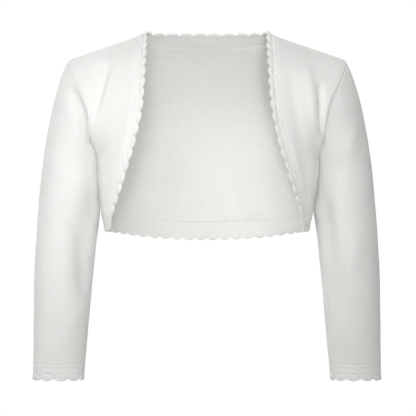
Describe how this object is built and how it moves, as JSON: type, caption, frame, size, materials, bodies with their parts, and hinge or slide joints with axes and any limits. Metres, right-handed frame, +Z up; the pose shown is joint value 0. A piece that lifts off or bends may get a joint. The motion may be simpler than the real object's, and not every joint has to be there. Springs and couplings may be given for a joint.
{
  "type": "bolero",
  "caption": "Child's knitted bolero, open in front, with long sleeves and scalloped bands round the neck, fronts, hem and cuffs, filled out as if worn",
  "frame": {"origin": "the middle of the shoulder line, where the wearer's shoulders hold the garment up", "axes": "+X to the wearer's left, -Y to the front, +Z up"},
  "size_m": [0.3624, 0.1433, 0.365],
  "materials": {
    "ivory_knit": "fine cotton knit, matt"
  },
  "bodies": {
    "root": {"back": "ivory_knit", "front_right": "ivory_knit", "front_left": "ivory_knit", "sleeve_right": "ivory_knit", "sleeve_left": "ivory_knit", "neck_front_band": "ivory_knit", "hem_band": "ivory_knit", "cuff_band_right": "ivory_knit", "cuff_band_left": "ivory_knit"}
  },
  "joints": []
}
